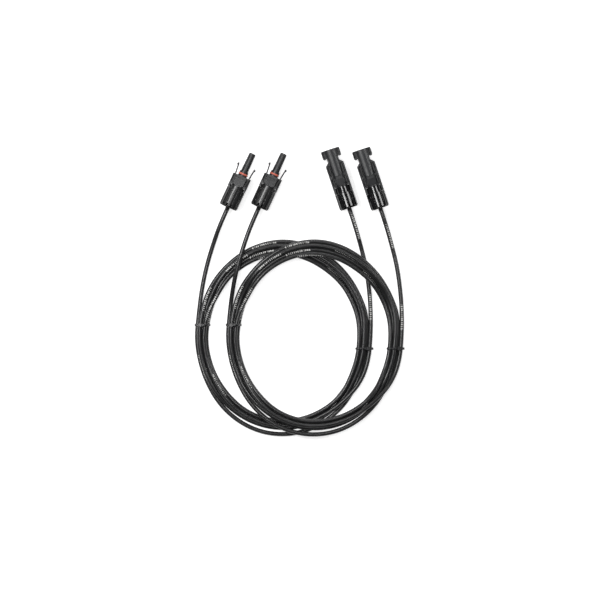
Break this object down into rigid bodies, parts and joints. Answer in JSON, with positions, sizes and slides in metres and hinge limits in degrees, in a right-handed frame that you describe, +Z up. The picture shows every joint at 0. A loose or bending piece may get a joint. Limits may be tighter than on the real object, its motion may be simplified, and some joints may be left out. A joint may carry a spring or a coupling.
{
  "type": "solar cable connector",
  "caption": "Black solar extension leads with latching plug and wide-headed receptacle, ribbed gland nuts and an orange-red sealing ring, each wound to a tied oval coil.",
  "frame": {"origin": "on the surface the leads lie on, under the centre of the box round the four connectors", "axes": "+Z up from the surface; +Y forward, the way the connectors point; +X right, from the plugs to the receptacles"},
  "size_m": [0.2231, 0.307, 0.0201],
  "materials": {
    "housing": "fine matt moulded plastic, dark grey-black",
    "gland_nut": "glossy moulded plastic, black",
    "sealing_ring": "satin silicone rubber, orange-red",
    "cable": "satin extruded jacket, black",
    "tie": "glossy nylon, black",
    "contact": "tin-plated copper alloy, bright",
    "contact_spring": "spring copper alloy",
    "conductor": "tinned copper strands",
    "cable_seal": "soft rubber, black",
    "clamp_cage": "moulded plastic, dark grey"
  },
  "bodies": {
    "lead1": {"lead1_plug_housing": "housing", "lead1_plug_o_ring": "sealing_ring", "lead1_plug_contact_sleeve": "contact", "lead1_plug_contact_spring": "contact_spring", "lead1_plug_conductor": "conductor", "lead1_plug_cable_end": "cable", "lead1_plug_cable_seal": "cable_seal", "lead1_receptacle_housing": "housing", "lead1_receptacle_contact_pin": "contact", "lead1_receptacle_conductor": "conductor", "lead1_receptacle_cable_end": "cable", "lead1_receptacle_cable_seal": "cable_seal", "lead1_plug_tail": "cable", "lead1_coil": "cable", "lead1_receptacle_tail": "cable", "lead1_left_tie": "tie", "lead1_right_tie": "tie"},
    "lead1_latch_left": {"lead1_plug_latch_left": "housing"},
    "lead1_latch_right": {"lead1_plug_latch_right": "housing"},
    "lead1_plug_clamp": {"lead1_plug_clamp_cage": "clamp_cage"},
    "lead1_plug_nut": {"lead1_plug_gland_nut": "gland_nut"},
    "lead1_receptacle_clamp": {"lead1_receptacle_clamp_cage": "clamp_cage"},
    "lead1_receptacle_nut": {"lead1_receptacle_gland_nut": "gland_nut"},
    "lead2": {"lead2_plug_housing": "housing", "lead2_plug_o_ring": "sealing_ring", "lead2_plug_contact_sleeve": "contact", "lead2_plug_contact_spring": "contact_spring", "lead2_plug_conductor": "conductor", "lead2_plug_cable_end": "cable", "lead2_plug_cable_seal": "cable_seal", "lead2_receptacle_housing": "housing", "lead2_receptacle_contact_pin": "contact", "lead2_receptacle_conductor": "conductor", "lead2_receptacle_cable_end": "cable", "lead2_receptacle_cable_seal": "cable_seal", "lead2_plug_tail": "cable", "lead2_coil": "cable", "lead2_receptacle_tail": "cable", "lead2_left_tie": "tie", "lead2_right_tie": "tie"},
    "lead2_latch_left": {"lead2_plug_latch_left": "housing"},
    "lead2_latch_right": {"lead2_plug_latch_right": "housing"},
    "lead2_plug_clamp": {"lead2_plug_clamp_cage": "clamp_cage"},
    "lead2_plug_nut": {"lead2_plug_gland_nut": "gland_nut"},
    "lead2_receptacle_clamp": {"lead2_receptacle_clamp_cage": "clamp_cage"},
    "lead2_receptacle_nut": {"lead2_receptacle_gland_nut": "gland_nut"}
  },
  "joints": [
    {"name": "lead1_latch_left_flex", "type": "hinge", "parent": "lead1", "child": "lead1_latch_left", "pos_m": [-0.07576, -0.00271, 0.01005], "axis": [0, 0, -1], "range_deg": [0, 6], "stiffness_Nm_per_rad": 0.02},
    {"name": "lead1_latch_right_flex", "type": "hinge", "parent": "lead1", "child": "lead1_latch_right", "pos_m": [-0.06342, -0.00841, 0.01005], "axis": [0, 0, 1], "range_deg": [0, 6], "stiffness_Nm_per_rad": 0.02},
    {"name": "lead1_plug_clamp_travel", "type": "slide", "parent": "lead1", "child": "lead1_plug_clamp", "axis": [-0.4195, -0.9078, 0], "range_m": [0, 0.006]},
    {"name": "lead1_plug_nut_turn", "type": "hinge", "parent": "lead1_plug_clamp", "child": "lead1_plug_nut", "pos_m": [-0.07681, -0.02117, 0.01005], "axis": [-0.4195, -0.9078, 0], "range_deg": [0, 1440]},
    {"name": "lead1_receptacle_clamp_travel", "type": "slide", "parent": "lead1", "child": "lead1_receptacle_clamp", "axis": [0.3156, -0.9489, 0], "range_m": [0, 0.006]},
    {"name": "lead1_receptacle_nut_turn", "type": "hinge", "parent": "lead1_receptacle_clamp", "child": "lead1_receptacle_nut", "pos_m": [0.04421, -0.02161, 0.01005], "axis": [0.3156, -0.9489, 0], "range_deg": [0, 1440]},
    {"name": "lead2_lift", "type": "slide", "parent": "lead1", "child": "lead2", "axis": [0, 0, 1], "range_m": [0, 0.08]},
    {"name": "lead2_latch_left_flex", "type": "hinge", "parent": "lead2", "child": "lead2_latch_left", "pos_m": [-0.04276, -0.00271, 0.01005], "axis": [0, 0, -1], "range_deg": [0, 6], "stiffness_Nm_per_rad": 0.02},
    {"name": "lead2_latch_right_flex", "type": "hinge", "parent": "lead2", "child": "lead2_latch_right", "pos_m": [-0.03042, -0.00841, 0.01005], "axis": [0, 0, 1], "range_deg": [0, 6], "stiffness_Nm_per_rad": 0.02},
    {"name": "lead2_plug_clamp_travel", "type": "slide", "parent": "lead2", "child": "lead2_plug_clamp", "axis": [-0.4195, -0.9078, 0], "range_m": [0, 0.006]},
    {"name": "lead2_plug_nut_turn", "type": "hinge", "parent": "lead2_plug_clamp", "child": "lead2_plug_nut", "pos_m": [-0.04381, -0.02117, 0.01005], "axis": [-0.4195, -0.9078, 0], "range_deg": [0, 1440]},
    {"name": "lead2_receptacle_clamp_travel", "type": "slide", "parent": "lead2", "child": "lead2_receptacle_clamp", "axis": [0.3156, -0.9489, 0], "range_m": [0, 0.006]},
    {"name": "lead2_receptacle_nut_turn", "type": "hinge", "parent": "lead2_receptacle_clamp", "child": "lead2_receptacle_nut", "pos_m": [0.07721, -0.02161, 0.01005], "axis": [0.3156, -0.9489, 0], "range_deg": [0, 1440]}
  ],
  "couplings": [
    {"joint": "lead1_plug_nut_turn", "follows": "lead1_plug_clamp_travel", "rad_per_m": 4188.8},
    {"joint": "lead1_receptacle_nut_turn", "follows": "lead1_receptacle_clamp_travel", "rad_per_m": 4188.8},
    {"joint": "lead2_plug_nut_turn", "follows": "lead2_plug_clamp_travel", "rad_per_m": 4188.8},
    {"joint": "lead2_receptacle_nut_turn", "follows": "lead2_receptacle_clamp_travel", "rad_per_m": 4188.8}
  ]
}
